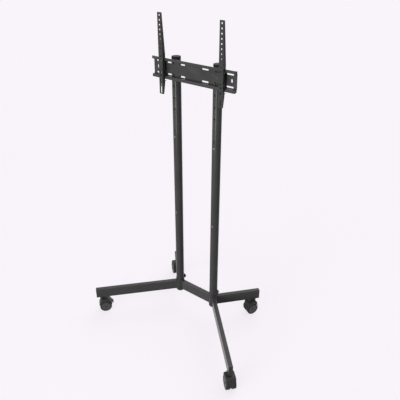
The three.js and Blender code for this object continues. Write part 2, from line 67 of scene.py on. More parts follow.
cameraSettings = {
    "place": (1393.9, -1923.4, 2274.8),
    "azimuth": 36.04,
    "downward": 26.90,
    "lens": 42.46,
    "shift": (0.0107, -0.09),
    "reach": 200,       # metres
}


def makeCamera(s):
    data = bpy.data.cameras.new("camera")
    data.lens = s["lens"]
    data.shift_x, data.shift_y = s["shift"]
    data.clip_end = s["reach"]
    camera = bpy.data.objects.new("camera", data)
    camera.location = Vector(s["place"]) * mm
    camera.rotation_euler = (math.radians(90 - s["downward"]), 0, math.radians(s["azimuth"]))
    scene.collection.objects.link(camera)
    scene.camera = camera


makeCamera(cameraSettings)


# Outlines, as lists of points in millimetres

def filleted(points, steps=5, closed=True):
    # a point may carry a third number, its corner radius
    rounded = []
    count = len(points)
    for i, point in enumerate(points):
        radius = point[2] if len(point) > 2 else 0
        here = Vector(point[:2])
        if not radius or (not closed and i in (0, count - 1)):
            rounded.append(tuple(here))
            continue
        back = Vector(points[i - 1][:2]) - here
        ahead = Vector(points[(i + 1) % count][:2]) - here
        half = back.angle(ahead) / 2
        reach = min(radius / math.tan(half), back.length / 2, ahead.length / 2)
        radius = reach * math.tan(half)
        centre = here + (back.normalized() + ahead.normalized()).normalized() * radius / math.sin(half)
        start = here + back.normalized() * reach - centre
        stop = here + ahead.normalized() * reach - centre
        first = math.atan2(start.y, start.x)
        sweep = (math.atan2(stop.y, stop.x) - first + math.pi) % (2 * math.pi) - math.pi
        for k in range(steps + 1):
            angle = first + sweep * k / steps
            rounded.append((centre.x + radius * math.cos(angle), centre.y + radius * math.sin(angle)))
    return rounded


def rectangle(width, height, corner, steps=6):
    x, y = width / 2, height / 2
    return filleted([(-x, -y, corner), (x, -y, corner), (x, y, corner), (-x, y, corner)], steps)


def circle(radius, steps):
    return [(radius * math.cos(2 * math.pi * i / steps),
             radius * math.sin(2 * math.pi * i / steps)) for i in range(steps)]


def slotShape(width, height, gap=0.001):
    # round ends, whose corners stop just short of meeting
    return rectangle(width, height, min(width, height) / 2 - gap, steps=10)


def drum(radius, low, high, lowEdge=0, highEdge=0, steps=3):
    # half the section of a round block, to be spun
    return filleted([(0, low), (radius, low, lowEdge), (radius, high, highEdge), (0, high)], steps)


def bentSheet(path, thickness, bend, steps=6, leastMiter=0.5):
    # outline of sheet metal whose middle line follows the path
    line = [Vector(p) for p in filleted([(x, y, bend) for x, y in path], steps, closed=False)]
    left, right = [], []
    for i, point in enumerate(line):
        before = (point - line[i - 1]).normalized() if i else None
        after = (line[i + 1] - point).normalized() if i < len(line) - 1 else None
        before, after = before or after, after or before
        heading = (before + after).normalized()
        wide = thickness / 2 / max(heading.dot(after), leastMiter)
        across = Vector((-heading.y, heading.x)) * wide
        left.append(tuple(point + across))
        right.append(tuple(point - across))
    return left + right[::-1]


# Solids, as vertices in millimetres with their faces

def spun(profile, steps=64):
    # a closed profile of (radius, height) turned about Z
    count = len(profile)
    vertices = [(r * math.cos(2 * math.pi * i / steps), r * math.sin(2 * math.pi * i / steps), h)
                for i in range(steps) for r, h in profile]
    faces = []
    for i in range(steps):
        a, b = i * count, (i + 1) % steps * count
        faces += [(a + j, b + j, b + (j + 1) % count, a + (j + 1) % count) for j in range(count)]
    return vertices, faces


def lofted(loops):
    # skin over closed loops of points, shut at both ends
    count = len(loops[0])
    vertices = [tuple(p) for loop in loops for p in loop]
    faces = [tuple(range(count)), tuple(range((len(loops) - 1) * count, len(loops) * count))]
    for i in range(len(loops) - 1):
        a, b = i * count, (i + 1) * count
        faces += [(a + j, b + j, b + (j + 1) % count, a + (j + 1) % count) for j in range(count)]
    return vertices, faces


def extruded(outline, low, high):
    return lofted([[(x, y, z) for x, y in outline] for z in (low, high)])


def hollowBar(outer, inner, low, high):
    # outer and inner outlines have the same number of points
    return lofted([[(x, y, z) for x, y in outline] for outline, z in
                   ((outer, low), (outer, high), (inner, high), (inner, low), (outer, low))])


def threaded(radius, low, high, pitch, point, tip=0.55, steps=24):
    # a threaded length along Z, drawn in to a share of its radius over the point at its upper end
    root = radius - pitch / 2
    profile = [(0, low), (root, low)]
    for i in range(int((high - low - point) / pitch)):
        profile += [(radius, low + (i + 0.5) * pitch), (root, low + (i + 1) * pitch)]
    return spun(profile + [(radius * tip, high), (0, high)], steps)


def moved(part, *steps):
    place = Matrix.Identity(4)
    for step in steps:
        place = step @ place
    return [tuple(place @ Vector(v)) for v in part[0]], part[1]


def along(x=0, y=0, z=0):
    return Matrix.Translation((x, y, z))


def turn(degrees, axis):
    return Matrix.Rotation(math.radians(degrees), 4, axis)


toY = turn(-90, "X")       # Z becomes Y
# the first stands up an (x, z) outline, thick along Y, and the second a (y, z) outline, thick along X
uprightY = Matrix(((1, 0, 0, 0), (0, 0, 1, 0), (0, 1, 0, 0), (0, 0, 0, 1)))
uprightX = Matrix(((0, 0, 1, 0), (1, 0, 0, 0), (0, 1, 0, 0), (0, 0, 0, 1)))
fine, medium, coarse = 96, 48, 24      # sides of a round shape
over = 5                    # how far a cutting tool runs past the piece
mergeGap = 0.001


def rodY(radius, low, high, steps=coarse, x=0, z=0):
    return moved(extruded(circle(radius, steps), low, high), toY, along(x, 0, z))


def makePiece(name, *parts):
    vertices, faces = [], []
    for points, rings in parts:
        faces += [tuple(i + len(vertices) for i in ring) for ring in rings]
        vertices += points
    mesh = bpy.data.meshes.new(name)
    mesh.from_pydata([tuple(Vector(v) * mm) for v in vertices], [], faces)
    bm = bmesh.new()
    bm.from_mesh(mesh)
    bmesh.ops.remove_doubles(bm, verts=bm.verts, dist=mergeGap * mm)
    bmesh.ops.dissolve_degenerate(bm, edges=bm.edges, dist=mergeGap * mm)
    bmesh.ops.recalc_face_normals(bm, faces=bm.faces)
    bm.to_mesh(mesh)
    bm.free()
    piece = bpy.data.objects.new(name, mesh)
    scene.collection.objects.link(piece)
    return piece


def settle(piece):
    # what the modifiers make becomes the piece's own mesh
    evaluated = piece.evaluated_get(bpy.context.evaluated_depsgraph_get())
    mesh = bpy.data.meshes.new_from_object(evaluated)
    piece.modifiers.clear()
    piece.data = mesh


def combine(piece, operation, *parts):
    tool = makePiece("tool", *parts)
    modifier = piece.modifiers.new(operation.lower(), "BOOLEAN")
    modifier.operation = operation
    modifier.solver = "EXACT"
    modifier.object = tool
    settle(piece)
    bpy.data.objects.remove(tool)


def cutAway(piece, *parts):
    combine(piece, "DIFFERENCE", *parts)


def weldOn(piece, *parts):
    for part in parts:
        combine(piece, "UNION", part)


def softenEdges(piece, width, segments=2, sharp=35):
    bevel = piece.modifiers.new("edges", "BEVEL")
    bevel.width = width * mm
    bevel.segments = segments
    bevel.limit_method = "ANGLE"
    bevel.angle_limit = math.radians(sharp)
    bevel.use_clamp_overlap = True
    settle(piece)


def place(piece, *steps):
    matrix = Matrix.Identity(4)
    for step in steps:
        matrix = step @ matrix
    shift = Matrix.Translation(matrix.translation * mm) @ matrix.to_3x3().to_4x4()
    piece.data.transform(shift)


def dress(piece, finish, *replaced, body=None, sharp=35):
    piece.data.materials.clear()
    piece.data.materials.append(finishes[finish])
    piece.data.shade_smooth()
    piece.data.set_sharp_from_angle(angle=math.radians(sharp))
    fair = piece.modifiers.new("flat faces stay flat", "WEIGHTED_NORMAL")
    fair.keep_sharp = True
    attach(piece, body or bodyNames[nodes[replaced[0]].parent])
    if replaced:
        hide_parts(*replaced)


# Finishes; a tone given as one number is a grey

coatSettings = {
    "dark": (0.034, 0.034, 0.033), "light": (0.044, 0.044, 0.043), "toneScale": 9,
    "wear": (0.16, 0.16, 0.155), "wearAmount": 0.3,
    "roughness": (0.22, 0.26), "roughScale": 300,
    "grainScale": 1400, "grainDepth": 0.05, "waveDepth": 0.012,
    "metallic": 0.0, "specular": 0.11,
}
innerSteelSettings = {
    "dark": (0.16, 0.16, 0.165), "light": 0.26, "toneScale": 30,
    "wear": 0.4, "wearAmount": 0.2,
    "roughness": (0.32, 0.5), "roughScale": 120,
    "grainScale": 1500, "grainDepth": 0.02, "waveDepth": 0.02,
    "metallic": 0.9, "specular": 0.5,
}
fastenerSettings = {
    "dark": (0.022, 0.022, 0.024), "light": (0.045, 0.045, 0.046), "toneScale": 160,
    "wear": 0.30, "wearAmount": 0.6,
    "roughness": (0.26, 0.44), "roughScale": 400,
    "grainScale": 2600, "grainDepth": 0.02, "waveDepth": 0.0,
    "metallic": 0.75, "specular": 0.5,
}
# painted glint: a lighter, more metallic copy of the black oxide fastener finish, so the sleeve screws' heads
# shine
screwGlintSettings = {
    "dark": 0.13, "light": 0.20, "toneScale": 200,
    "wear": 0.45, "wearAmount": 0.5,
    "roughness": (0.22, 0.38), "roughScale": 400,
    "grainScale": 2600, "grainDepth": 0.02, "waveDepth": 0.0,
    "metallic": 0.9, "specular": 0.5,
}
# painted shade: a near-black finish on the tube's inner wall, standing in for the shade seen through the
# holes
boreShadeSettings = {
    "dark": 0.008, "light": 0.014, "toneScale": 30,
    "wear": 0.03, "wearAmount": 0.2,
    "roughness": (0.6, 0.8), "roughScale": 90,
    "grainScale": 900, "grainDepth": 0.05, "waveDepth": 0.03,
    "metallic": 0.0, "specular": 0.05,
}
plasticSettings = {
    "dark": 0.019, "light": 0.028, "toneScale": 40,
    "wear": 0.06, "wearAmount": 0.3,
    "roughness": (0.42, 0.58), "roughScale": 130,
    "grainScale": 1700, "grainDepth": 0.05, "waveDepth": 0.02,
    "metallic": 0.0, "specular": 0.25,
}
capPlasticSettings = {
    "dark": 0.010, "light": 0.016, "toneScale": 50,
    "wear": 0.05, "wearAmount": 0.25,
    "roughness": (0.45, 0.62), "roughScale": 120,
    "grainScale": 1500, "grainDepth": 0.05, "waveDepth": 0.02,
    "metallic": 0.0, "specular": 0.08,
}
tyreSettings = {
    "dark": 0.018, "light": 0.030, "toneScale": 60,
    "wear": (0.05, 0.05, 0.048), "wearAmount": 0.4,
    "roughness": (0.5, 0.72), "roughScale": 160,
    "grainScale": 1200, "grainDepth": 0.06, "waveDepth": 0.03,
    "metallic": 0.0, "specular": 0.2,
}
discSettings = {
    "dark": 0.058, "light": 0.076, "toneScale": 45,
    "wear": 0.07, "wearAmount": 0.25,
    "roughness": (0.34, 0.46), "roughScale": 150,
    "grainScale": 1900, "grainDepth": 0.03, "waveDepth": 0.01,
    "metallic": 0.0, "specular": 0.3,
}
# the same in every finish: the noises' levels, where an edge wears and the bumps' strength
patternSettings = {
    "levels": (0.3, 0.7), "toneDetail": 5, "roughDetail": 6,
    "edge": (0.51, 0.58), "patchScale": 2, "patchDetail": 4, "patch": (0.4, 0.65), "leastPatch": 0.1,
    "bump": 0.6, "bumpDetail": 2, "grainsPerWave": 12,
}
mixFirst, mixSecond, mixResult = 6, 7, 2        # sockets of a Mix node that blends colours


def feed(tree, socket, value):
    # with a value, a colour without its alpha, or the output that the socket follows
    if isinstance(value, bpy.types.NodeSocket):
        tree.links.new(value, socket)
    else:
        socket.default_value = (*value, 1) if isinstance(value, tuple) else value


def addNode(tree, kind, sockets=None, result=0, **values):
    node = tree.nodes.new(kind)
    for key, value in values.items():
        setattr(node, key, value)
    for key, value in (sockets or {}).items():
        feed(tree, node.inputs[key], value)
    return node.outputs[result]


def makeFinish(name, s, pattern=patternSettings):
    material = bpy.data.materials.new(name)
    material.use_nodes = True
    tree = material.node_tree
    spot = addNode(tree, "ShaderNodeTexCoord", result="Object")
    edge = addNode(tree, "ShaderNodeNewGeometry", result="Pointiness")

    def noise(scale, detail):
        return addNode(tree, "ShaderNodeTexNoise", {"Scale": scale, "Detail": detail, "Vector": spot})

    def ranged(source, levels, first, last):
        low, high = levels
        return addNode(tree, "ShaderNodeMapRange", {
            "Value": source, "From Min": low, "From Max": high, "To Min": first, "To Max": last})

    def blended(amount, first, second):
        return addNode(tree, "ShaderNodeMix", {"Factor": amount, mixFirst: first, mixSecond: second},
                       mixResult, data_type="RGBA")

    def bumped(scale, depth, under=None):
        height = noise(scale, pattern["bumpDetail"])
        sockets = {"Strength": pattern["bump"], "Distance": depth * mm, "Height": height}
        return addNode(tree, "ShaderNodeBump", {**sockets, "Normal": under} if under else sockets)

    dark, light, wear = ((tone,) * 3 if isinstance(tone, float) else tone
                         for tone in (s["dark"], s["light"], s["wear"]))
    levels = pattern["levels"]
    tone = blended(ranged(noise(s["toneScale"], pattern["toneDetail"]), levels, 0, 1), dark, light)
    patches = ranged(noise(s["roughScale"] * pattern["patchScale"], pattern["patchDetail"]),
                     pattern["patch"], pattern["leastPatch"], 1)
    worn = addNode(tree, "ShaderNodeMath", {0: ranged(edge, pattern["edge"], 0, s["wearAmount"]), 1: patches},
                   operation="MULTIPLY")
    rough = ranged(noise(s["roughScale"], pattern["roughDetail"]), levels, *s["roughness"])
    wave = bumped(s["grainScale"] / pattern["grainsPerWave"], s["waveDepth"]) if s["waveDepth"] else None
    shader = tree.nodes["Principled BSDF"].inputs
    for key, value in (("Metallic", s["metallic"]), ("Specular IOR Level", s["specular"]),
                       ("Base Color", blended(worn, tone, wear)), ("Roughness", rough),
                       ("Normal", bumped(s["grainScale"], s["grainDepth"], wave))):
        feed(tree, shader[key], value)
    return material


finishes = {
    "coat": makeFinish("powder coat, charcoal", coatSettings),
    "innerSteel": makeFinish("bare steel tube", innerSteelSettings),
    "fastener": makeFinish("black oxide steel", fastenerSettings),
    "screw": makeFinish("lighter steel, painted glint", screwGlintSettings),
    "bore": makeFinish("painted shade inside a tube", boreShadeSettings),
    "plastic": makeFinish("moulded black plastic", plasticSettings),
    "capPlastic": makeFinish("moulded plug, matt black", capPlasticSettings),
    "tyre": makeFinish("caster tyre", tyreSettings),
    "disc": makeFinish("caster wheel disc", discSettings),
}
print("camera and finishes made")


# Posts, in three lengths with their inner sleeves

sides = {"left": -1, "right": 1}

postSettings = {
    "x": 132, "radius": 25, "wall": 1.5, "edge": 0.5,
    "foot": 99.3, "seams": (731, 1231), "top": 1656, "seamGap": 0.3,
    "screwDrop": 21, "screwHole": 3.3, "emptyHoleRise": 17,
    "boltHole": 4.3, "topBoltHole": 1632, "boltPitch": 64, "boltHoles": 5,
    "boreShadeDepth": 0.6,       # share of the wall, beyond which a face of the bore gets the painted shade
}


def postTube(name, low, high, screwHole, boltHoles, s):
    r, inner, edge = s["radius"], s["radius"] - s["wall"], s["edge"]
    profile = filleted([(inner, low), (r, low, edge), (r, high, edge), (inner, high)], steps=3)
    tube = makePiece(name, spun(profile, fine))
    cutAway(tube, rodY(s["screwHole"], -r - over, 0, z=screwHole),
            *[rodY(s["boltHole"], -r - over, r + over, z=h) for h in boltHoles])
    return tube


def paintBoreShade(tube, s):
    # faces of the inner wall, seen through the holes, are painted near black: painted shade inside the tube
    tube.data.materials.append(finishes["bore"])
    limit = (s["radius"] - s["wall"] * s["boreShadeDepth"]) * mm
    for face in tube.data.polygons:
        if math.hypot(face.center.x, face.center.y) < limit:
            face.material_index = 1


def makePosts(s):
    lower, upper = s["seams"]
    half = s["seamGap"] / 2
    bolts = [s["topBoltHole"] - i * s["boltPitch"] for i in range(s["boltHoles"])]
    for side, sign in sides.items():
        for part, low, high, screwHole, boltHoles in (
                ("lower", s["foot"], lower - half, lower - s["screwDrop"], []),
                ("middle", lower + half, upper - half, upper - s["screwDrop"], []),
                ("upper", upper + half, s["top"], upper + s["emptyHoleRise"], bolts)):
            tube = postTube(f"postTube_{part}_{side}", low, high, screwHole, boltHoles, s)
            dress(tube, "coat", f"post_{part}_{side}")
            paintBoreShade(tube, s)
            place(tube, along(sign * s["x"]))
        for part in ("lower", "upper"):
            sleeve = nodes[f"sleeve_{part}_{side}"]
            sleeve.data.materials.clear()
            sleeve.data.materials.append(finishes["innerSteel"])


makePosts(postSettings)
postX = postSettings["x"]

capSettings = {
    "radius": 25, "edge": 0.4, "plugRadius": 23.2, "plugDepth": 15, "plugTaper": (0.8, 1.5),
    "foot": 1656.3, "shoulder": 1662.8, "shoulderCorner": 2.2, "top": 1665,
    "domeShare": 0.62, "domeDrop": 0.35, "domeCorner": 12,
}


def makePostCaps(s):
    r, inner, foot, top = s["radius"], s["plugRadius"], s["foot"], s["top"]
    plug = foot - s["plugDepth"]
    inward, upward = s["plugTaper"]
    profile = filleted([
        (0, plug), (inner - inward, plug), (inner, plug + upward), (inner, foot),
        (r, foot, s["edge"]), (r, s["shoulder"], s["shoulderCorner"]),
        (r * s["domeShare"], top - s["domeDrop"], s["domeCorner"]), (0, top),
    ])
    for side, sign in sides.items():
        cap = makePiece(f"postCap_{side}", spun(profile, fine))
        place(cap, along(sign * postX))
        dress(cap, "capPlastic", f"post_cap_{side}")


makePostCaps(capSettings)

sleeveScrewSettings = {
    "shank": 3, "length": 9, "pitch": 1.0, "point": 1.5, "root": 0.5, "sunk": 0.1, "heights": (710, 1210),
    "head": 5.5, "headHeight": 3, "steps": 40, "recess": 2.1, "recessDepth": 1.9, "recessOver": 2,
    # shares of the head, corner radius
    "dome": ((1, 0), (1, 0.35, 0.5), (0.72, 0.86, 2), (0.4, 1), (0, 1)),
}


def makeSleeveScrews(s):
    h, r = s["headHeight"], s["head"]
    dome = filleted([(0, 0)] + [(r * x, h * z, *corner) for x, z, *corner in s["dome"]], steps=4)
    for side, sign in sides.items():
        for level, height in zip(("lower", "upper"), s["heights"]):
            screw = makePiece(f"sleeveScrew_{level}_{side}", spun(dome, s["steps"]))
            cutAway(screw, extruded(circle(s["recess"], steps=6), h - s["recessDepth"], h + s["recessOver"]))
            shank = threaded(s["shank"], -s["root"], s["length"], s["pitch"], s["point"])
            weldOn(screw, moved(shank, turn(180, "X")))
            place(screw, turn(90, "X"), along(sign * postX, s["sunk"] - postSettings["radius"], height))
            # the heads take the lighter steel, a painted glint
            dress(screw, "screw", f"sleeve_screw_{level}_{side}")


makeSleeveScrews(sleeveScrewSettings)
print("posts made")


# Sockets at the posts' feet, with their knobs

socketSettings = {
    "radius": 27, "bore": 25.3, "bottom": 96, "top": 193, "floor": 3, "edge": 5, "mouthEdges": (0.7, 0.5),
    "bossRadius": 8, "bossRoot": 0.5, "bossFlare": 2, "bossNeck": 2.5, "bossCorner": 2, "bossEdge": 1,
    "bossEnd": 32, "bossHeight": 177, "thread": 4.3,
}


def makeSockets(s):
    outer, inner = s["mouthEdges"]
    floor, root, r, end = s["bottom"] + s["floor"], s["bore"] + s["bossRoot"], s["bossRadius"], s["bossEnd"]
    profile = filleted([
        (0, s["bottom"]), (s["radius"], s["bottom"], s["edge"]), (s["radius"], s["top"], outer),
        (s["bore"], s["top"], inner), (s["bore"], floor), (0, floor),
    ], steps=6)
    boss = filleted([(0, root), (r + s["bossFlare"], root), (r, s["radius"] + s["bossNeck"], s["bossCorner"]),
                     (r, end, s["bossEdge"]), (0, end)], steps=4)
    for side, sign in sides.items():
        socket = makePiece(f"socketCup_{side}", spun(profile, fine))
        weldOn(socket, moved(spun(boss, medium), toY, along(z=s["bossHeight"])))
        cutAway(socket, rodY(s["thread"], 0, end + over, z=s["bossHeight"]))
        place(socket, along(sign * postX))
        dress(socket, "coat", f"socket_{side}")


makeSockets(socketSettings)

knobSettings = {
    "radius": 16, "lobes": 6, "lobeDepth": 2.5, "gripStart": 36.3, "thickness": 9, "height": 177,
    # shares of the radius, with the depth in from the foot and from the face
    "foot": ((0.84, 0), (0.93, 0.5), (0.98, 1.4), (1, 3)),
    "face": ((1, 3.2), (0.98, 1.6), (0.93, 0.6), (0.86, 0.1), (0.72, 0), (0.58, 0.2), (0.52, 0.9), (0.2, 1)),
    "hubRadius": 8.5, "hubStart": 32.3, "hubTaper": 1.2, "hubEdge": 0.6, "hubOverlap": 1,
    "studRadius": 3.9, "studStart": 25.4, "studLength": 15, "studPitch": 1.25, "studPoint": 1,
}


def makeKnobs(s):
    def lobed(scale, z):
        loop = []
        for i in range(fine):
            angle = 2 * math.pi * i / fine
            r = s["radius"] - s["lobeDepth"] * (1 - math.cos(s["lobes"] * angle)) / 2
            loop.append((r * scale * math.cos(angle), r * scale * math.sin(angle), z))
        return loop

    rim = [*s["foot"], *[(share, s["thickness"] - depth) for share, depth in s["face"]]]
    r, taper, end = s["hubRadius"], s["hubTaper"], s["gripStart"] - s["hubStart"] + s["hubOverlap"]
    hub = filleted([(0, 0), (r - taper, 0), (r, taper, s["hubEdge"]), (r, end), (0, end)], steps=3)
    for side, sign in sides.items():
        centre = along(sign * postX, 0, s["height"])
        grip = moved(lofted([lobed(*step) for step in rim]), along(z=s["gripStart"]))
        grip = makePiece(f"knobGrip_{side}", grip)
        weldOn(grip, moved(spun(hub, medium), along(z=s["hubStart"])))
        place(grip, toY, centre)
        dress(grip, "plastic", f"base_knob_{side}")
        screw = threaded(s["studRadius"], 0, s["studLength"], s["studPitch"], s["studPoint"])
        stud = makePiece(f"knobStud_{side}", moved(screw, turn(180, "X"), along(z=s["studLength"])))
        place(stud, along(z=s["studStart"]), toY, centre)
        dress(stud, "fastener", body=f"knob_{side}")


makeKnobs(knobSettings)
print("sockets made")


# Crossbar and legs, of one tube, with welds where they meet the sockets

barSettings = {
    "height": 65, "width": 25, "wall": 1.5, "corner": 3, "edge": 0.3, "underside": 108,
    "frontReach": 552, "rearReach": 304, "frontSplay": 44, "rearSplay": 43,
    "cope": 0.2, "copeSpan": (90, 230), "stemInset": 35, "stemHole": 5.3,
    "capFlange": 3, "capGap": 0.1, "capPlug": 8, "plugRoom": 0.3, "plugOverlap": 1,
    # depth on the leg's end, with how far the cap's outline shrinks there
    "capRims": ((0, 0), (1.6, 0), (2.3, 0.25), (2.75, 0.8), (3, 1.7), (2.7, 3.2), (2.6, 6)),
    "rimCorner": 0.4, "leastCorner": 1,
    "bead": 1.7, "beadLift": 0.2, "beadStep": 0.8, "beadSides": 10, "ripple": 0.22, "rippleLength": 2.4,
}
corners = {
    "front_left": {"side": -1, "end": -1, "trail": 48, "brake": True},
    "front_right": {"side": 1, "end": -1, "trail": -43, "brake": True},
    "rear_left": {"side": -1, "end": 1, "trail": 142, "brake": False},
    "rear_right": {"side": 1, "end": 1, "trail": 244, "brake": False},
}


def legHeading(corner, s):
    # direction of a leg from its post, in degrees from +X, with its reach
    splay = math.radians(s["frontSplay"] if corner["end"] < 0 else s["rearSplay"])
    heading = math.degrees(math.atan2(corner["end"] * math.cos(splay), corner["side"] * math.sin(splay)))
    return heading, s["frontReach"] if corner["end"] < 0 else s["rearReach"]


def stemPlace(corner, s=barSettings):
    heading, reach = legHeading(corner, s)
    angle = math.radians(heading)
    out = reach - s["stemInset"]
    return corner["side"] * postX + out * math.cos(angle), out * math.sin(angle)


def barPart(length, s):
    # lies along +X, on the underside's height
    outer = rectangle(s["height"], s["width"], s["corner"])
    inner = rectangle(s["height"] - 2 * s["wall"], s["width"] - 2 * s["wall"], s["corner"] - s["wall"])
    lift = along(z=s["underside"] + s["height"] / 2)
    return moved(hollowBar(outer, inner, 0, length), turn(90, "Y"), lift)


def weldBead(name, heading, post, s):
    # follows the bar's outline on the socket's round wall
    outline = rectangle(s["width"], s["height"], s["corner"], steps=5)
    around, length = [], 0
    for i, (u, v) in enumerate(outline):
        start, stop = Vector((u, v)), Vector(outline[(i + 1) % len(outline)])
        pieces = max(1, round((stop - start).length / s["beadStep"]))
        around += [start.lerp(stop, k / pieces) for k in range(pieces)]
    middle = s["underside"] + s["height"] / 2
    radius, steps = socketSettings["radius"], s["beadSides"]
    line = [Vector((math.sqrt(radius ** 2 - p.x ** 2) + s["beadLift"], p.x, middle + p.y)) for p in around]
    loops = []
    for i, point in enumerate(line):
        ahead = (line[(i + 1) % len(line)] - line[i - 1]).normalized()
        out = Vector((point.x, point.y, 0)).normalized()
        side = ahead.cross(out).normalized()
        length += (line[i] - line[i - 1]).length if i else 0
        r = s["bead"] * (1 + s["ripple"] * math.cos(2 * math.pi * length / s["rippleLength"]))
        loops.append([point + out * r * math.cos(a) + side * r * math.sin(a)
                      for a in (2 * math.pi * k / steps for k in range(steps))])
    vertices, faces = lofted(loops + [loops[0]])
    bead = makePiece(name, (vertices, faces[2:]))
    place(bead, turn(heading, "Z"), along(post * postX))
    dress(bead, "coat", body=bodyNames[nodes["crossbar"].parent], sharp=60)


def makeBars(s):
    reach = socketSettings["radius"] - s["cope"]
    span = 2 * postX
    bore = [moved(extruded(circle(reach, fine), *s["copeSpan"]), along(x)) for x in (0, span)]
    bar = makePiece("crossbarTube", barPart(span, s))
    cutAway(bar, *bore)
    softenEdges(bar, s["edge"], segments=1)
    place(bar, along(-postX))
    dress(bar, "coat", "crossbar")
    weldBead("weldBead_crossbar_left", 0, -1, s)
    weldBead("weldBead_crossbar_right", 180, 1, s)

    for name, corner in corners.items():
        heading, length = legHeading(corner, s)
        leg = makePiece(f"legTube_{name}", barPart(length - s["capFlange"] - s["capGap"], s))
        hole = circle(s["stemHole"], coarse)
        hole = extruded(hole, s["underside"] - over, s["underside"] + s["wall"] + over)
        cutAway(leg, bore[0], moved(hole, along(length - s["stemInset"])))
        softenEdges(leg, s["edge"], segments=1)
        place(leg, turn(heading, "Z"), along(corner["side"] * postX))
        dress(leg, "coat", f"leg_{name}")
        weldBead(f"weldBead_{name}", heading, corner["side"], s)


makeBars(barSettings)


def makeLegCaps(s):
    width, height, inset = s["width"], s["height"], s["wall"] + s["plugRoom"]
    plug = rectangle(height - 2 * inset, width - 2 * inset, s["corner"] - s["wall"])
    rims = []
    for depth, shrink in s["capRims"]:
        corner = max(s["corner"] - shrink * s["rimCorner"], s["leastCorner"])
        rims.append([(x, y, depth) for x, y in rectangle(height - 2 * shrink, width - 2 * shrink, corner)])
    for name, corner in corners.items():
        heading, length = legHeading(corner, s)
        foot = length - s["capFlange"]
        cap = makePiece(f"legCap_{name}", moved(lofted(rims), along(z=foot)))
        weldOn(cap, extruded(plug, foot - s["capPlug"], foot + s["plugOverlap"]))
        place(cap, turn(90, "Y"), along(z=s["underside"] + height / 2), turn(heading, "Z"),
              along(corner["side"] * postX))
        dress(cap, "plastic", f"leg_cap_{name}")


makeLegCaps(barSettings)
print("legs made")


# Casters, each about its stem's axis with the wheels trailing towards +X

casterSettings = {
    "trail": 18, "axleHeight": 38, "wheelRadius": 38, "wheelStart": 4.6, "wheelEnd": 29,
    "wellRadius": 40.5, "wellSteps": 72, "ahead": 34, "behind": 31, "top": 94, "corner": 18, "edge": 0.7,
    "hoodStart": 8, "hoodSteps": 72, "roofRadius": 44, "roofPower": 22, "shoulder": 6, "shoulderSteps": 5,
    "skirt": 52, "skirtTool": (60, 30), "sideOver": 8,
    "web": 8, "webNeck": 28, "neckFlare": 6, "neckSpan": (-2, 30), "skin": 0.01, "hub": 15,
    "boss": 15, "bossTop": 102.4, "bossRoot": 8, "bossFlare": 0.6, "bossEdge": 1.6,
    "stem": 5, "stemHole": 18, "stemRoom": 0.5, "holeRoom": 0.3, "holeSteps": 32,
    "collar": 11, "collarTop": 107.7, "collarInset": 0.5, "collarEdge": 0.4, "neck": 0.6,
    # the collar's foot: out from its radius, above the boss, corner radius
    "collarFoot": ((0, 0.3, 0.6), (0, 2.4, 0.5), (-1.2, 2.8), (-0.5, 3.2, 0.4)),
    "nut": 9.8, "nutFoot": 109.8, "nutHeight": 8, "nutShare": 0.9, "nutChamfer": 0.9,
    "threadStart": 1, "threadEnd": 2, "pitch": 1.5, "point": 1,
    "axle": 4, "axleGap": 0.3, "axleHead": 7, "axleHeadHeight": 1.8, "axleSteps": 40,
    "axleDome": ((1, 0, 0.3), (1, 0.5, 0.5), (0.6, 1, 1)),      # shares of the head, corner radius
    "notchHalf": 15.5, "notchLength": 40, "notchCorner": 1.5, "notchDrop": 20, "notchRoom": 5,
    "pivot": (46, 76), "pinRadius": 2.3, "pinHole": 19.3, "pinSteps": 20,
}


def hoodOutline(s, inset=0.0):
    # rolls over the wheels and rises into the housing under the stem, about the axle
    tall, corner, power = s["top"] - s["axleHeight"], s["corner"], s["roofPower"]
    start, steps = s["hoodStart"], s["hoodSteps"]
    outline = []
    for i in range(steps + 1):
        angle = math.radians(start + (180 - 2 * start) * i / steps)
        c, v = abs(math.cos(angle)), math.sin(angle)
        half = s["behind"] if i < steps / 2 else s["ahead"]
        r = min(half / max(c, 1e-6), tall / v)
        if r * c > half - corner and r * v > tall - corner:
            reach = (half - corner) * c + (tall - corner) * v
            inside = reach ** 2 - (half - corner) ** 2 - (tall - corner) ** 2 + corner ** 2
            r = reach + math.sqrt(max(inside, 0))
        r = (r ** power + s["roofRadius"] ** power) ** (1 / power) - inset
        outline.append((s["trail"] + r * math.cos(angle), s["axleHeight"] + r * v))
    return outline


